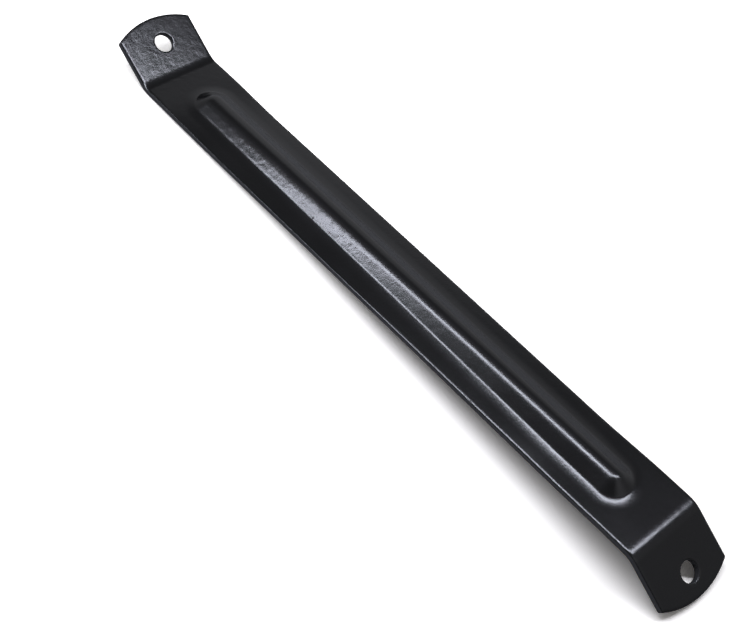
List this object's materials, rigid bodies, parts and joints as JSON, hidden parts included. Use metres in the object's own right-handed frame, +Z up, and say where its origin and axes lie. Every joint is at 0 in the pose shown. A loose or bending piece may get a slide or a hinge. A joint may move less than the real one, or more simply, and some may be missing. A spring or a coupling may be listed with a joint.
{
  "type": "front shield brace",
  "caption": "Flat steel strip stiffened by a long pressed bead, with one end folded up and the other down and a bolt hole in each end tab, to brace a shield.",
  "frame": {"origin": "on the floor plane under the centre of the part's box, with the brace lying as it rests: on the outside of its upward fold and on the tip of its lowered tab", "axes": "+X along the brace towards the lowered tab, +Y across it, +Z up"},
  "size_m": [0.2926, 0.032, 0.0165],
  "materials": {
    "black_paint": "glossy black paint with a light orange peel"
  },
  "bodies": {
    "root": {"shield_brace": "black_paint"}
  },
  "joints": []
}
